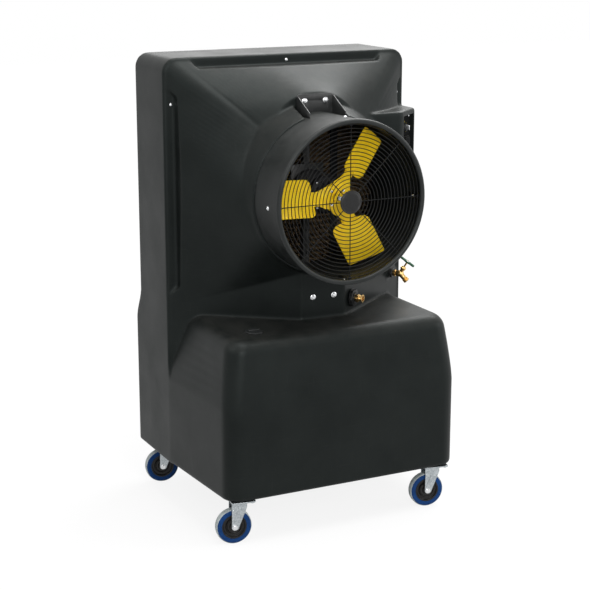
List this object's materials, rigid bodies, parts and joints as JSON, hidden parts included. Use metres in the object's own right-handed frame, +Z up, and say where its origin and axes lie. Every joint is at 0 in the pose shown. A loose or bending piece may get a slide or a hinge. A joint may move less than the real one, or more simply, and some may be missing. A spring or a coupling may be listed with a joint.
{
  "type": "evaporative cooler",
  "caption": "Portable evaporative cooler: moulded tank and funnel housing, ducted front fan behind a wire guard, cooling pads at the back, swivel casters below.",
  "frame": {"origin": "on the floor, at the middle of the overall width and depth", "axes": "+X to the right seen from the front, +Y towards the cooling pads at the back, +Z up; the fan blows towards -Y"},
  "size_m": [1.13, 0.962, 1.93],
  "materials": {
    "moulded_shell": "black rotomoulded polyethylene, satin with a fine grain",
    "duct": "black, satin",
    "black_steel": "black powder coat",
    "guard_wire": "black powder coat on wire",
    "badge": "plain black disc",
    "motor_paint": "black enamel",
    "pad_frame": "black, matte",
    "pad_paper": "brown treated cellulose, corrugated",
    "pipe": "black pipe",
    "pump_body": "black, smooth",
    "hose": "black hose",
    "brass_fitting": "machined brass",
    "fitting_plastic": "black nylon",
    "knob_metal": "satin aluminium",
    "lever_plastic": "green coated handle",
    "cap_plastic": "black cap",
    "shaft_steel": "ground steel",
    "fan_yellow": "bright yellow powder coat",
    "bolt_steel": "zinc plated",
    "caster_zinc": "zinc plated pressed steel",
    "axle_steel": "zinc plated",
    "wheel_core": "black moulded hub",
    "wheel_tyre": "blue rubber tread"
  },
  "bodies": {
    "cabinet": {"housing": "moulded_shell", "shroud": "duct", "top_bracket": "black_steel", "guard": "guard_wire", "guard_badge": "badge", "motor": "motor_paint", "motor_post": "black_steel", "pad_frame": "pad_frame", "pad_1": "pad_paper", "pad_2": "pad_paper", "pad_3": "pad_paper", "pad_4": "pad_paper", "header_pipe": "pipe", "pump": "pump_body", "riser_hose": "hose", "bleed_bracket": "black_steel", "bleed_valve": "brass_fitting", "bleed_hose": "hose", "inlet_bulkhead": "fitting_plastic", "inlet_valve": "brass_fitting", "float_valve": "brass_fitting", "drain_bulkhead": "fitting_plastic", "drain_fitting": "brass_fitting", "control_panel": "black_steel", "socket_cover": "fitting_plastic", "top_bolt_left": "bolt_steel", "top_bolt_right": "bolt_steel", "neck_bolt_left": "bolt_steel", "neck_bolt_right": "bolt_steel", "caster_fl_plate": "caster_zinc", "caster_fr_plate": "caster_zinc", "caster_rl_plate": "caster_zinc", "caster_rr_plate": "caster_zinc"},
    "fan": {"fan_shaft": "shaft_steel", "fan_spider": "fan_yellow", "fan_blade_1": "fan_yellow", "fan_blade_2": "fan_yellow", "fan_blade_3": "fan_yellow"},
    "knob": {"speed_knob": "knob_metal"},
    "switch": {"pump_switch": "fitting_plastic"},
    "inlet_handle": {"inlet_lever": "lever_plastic"},
    "cap": {"filler_cap": "cap_plastic"},
    "float": {"float_arm": "brass_fitting"},
    "caster_fl": {"caster_fl_fork": "caster_zinc"},
    "wheel_fl": {"caster_fl_axle": "axle_steel", "caster_fl_core": "wheel_core", "caster_fl_tyre": "wheel_tyre"},
    "caster_fr": {"caster_fr_fork": "caster_zinc"},
    "wheel_fr": {"caster_fr_axle": "axle_steel", "caster_fr_core": "wheel_core", "caster_fr_tyre": "wheel_tyre"},
    "caster_rl": {"caster_rl_fork": "caster_zinc"},
    "wheel_rl": {"caster_rl_axle": "axle_steel", "caster_rl_core": "wheel_core", "caster_rl_tyre": "wheel_tyre"},
    "caster_rr": {"caster_rr_fork": "caster_zinc"},
    "wheel_rr": {"caster_rr_axle": "axle_steel", "caster_rr_core": "wheel_core", "caster_rr_tyre": "wheel_tyre"}
  },
  "joints": [
    {"name": "fan_spin", "type": "hinge", "parent": "cabinet", "child": "fan", "pos_m": [0, -0.349, 1.387], "axis": [0, 1, 0], "continuous": true},
    {"name": "knob_turn", "type": "hinge", "parent": "cabinet", "child": "knob", "pos_m": [0.48179, -0.05341, 1.607], "axis": [-0.6508, 0.7593, 0], "range_deg": [0, 270]},
    {"name": "switch_rock", "type": "hinge", "parent": "cabinet", "child": "switch", "pos_m": [0.48049, -0.05189, 1.509], "axis": [0.7593, 0.6508, 0], "range_deg": [0, 18]},
    {"name": "inlet_turn", "type": "hinge", "parent": "cabinet", "child": "inlet_handle", "pos_m": [0.518, -0.03573, 1.00314], "axis": [0.3107, -0.4108, 0.8572], "range_deg": [0, 90]},
    {"name": "cap_lift", "type": "slide", "parent": "cabinet", "child": "cap", "axis": [0, -0.02, 0.9998], "range_m": [0, 0.04]},
    {"name": "float_swing", "type": "hinge", "parent": "cabinet", "child": "float", "pos_m": [0.41852, 0.09582, 0.948], "axis": [0.7976, 0.6032, 0], "range_deg": [0, 22]},
    {"name": "swivel_fl", "type": "hinge", "parent": "cabinet", "child": "caster_fl", "pos_m": [-0.458, -0.3847, 0.1767], "axis": [0, 0, 1], "continuous": true},
    {"name": "roll_fl", "type": "hinge", "parent": "caster_fl", "child": "wheel_fl", "pos_m": [-0.48954, -0.37929, 0.07436], "axis": [0.1692, 0.9856, 0], "continuous": true},
    {"name": "swivel_fr", "type": "hinge", "parent": "cabinet", "child": "caster_fr", "pos_m": [0.458, -0.3847, 0.1767], "axis": [0, 0, 1], "continuous": true},
    {"name": "roll_fr", "type": "hinge", "parent": "caster_fr", "child": "wheel_fr", "pos_m": [0.42646, -0.37929, 0.07436], "axis": [0.1692, 0.9856, 0], "continuous": true},
    {"name": "swivel_rl", "type": "hinge", "parent": "cabinet", "child": "caster_rl", "pos_m": [-0.458, 0.4043, 0.1767], "axis": [0, 0, 1], "continuous": true},
    {"name": "roll_rl", "type": "hinge", "parent": "caster_rl", "child": "wheel_rl", "pos_m": [-0.48954, 0.40971, 0.07436], "axis": [0.1692, 0.9856, 0], "continuous": true},
    {"name": "swivel_rr", "type": "hinge", "parent": "cabinet", "child": "caster_rr", "pos_m": [0.458, 0.4043, 0.1767], "axis": [0, 0, 1], "continuous": true},
    {"name": "roll_rr", "type": "hinge", "parent": "caster_rr", "child": "wheel_rr", "pos_m": [0.42646, 0.40971, 0.07436], "axis": [0.1692, 0.9856, 0], "continuous": true}
  ]
}
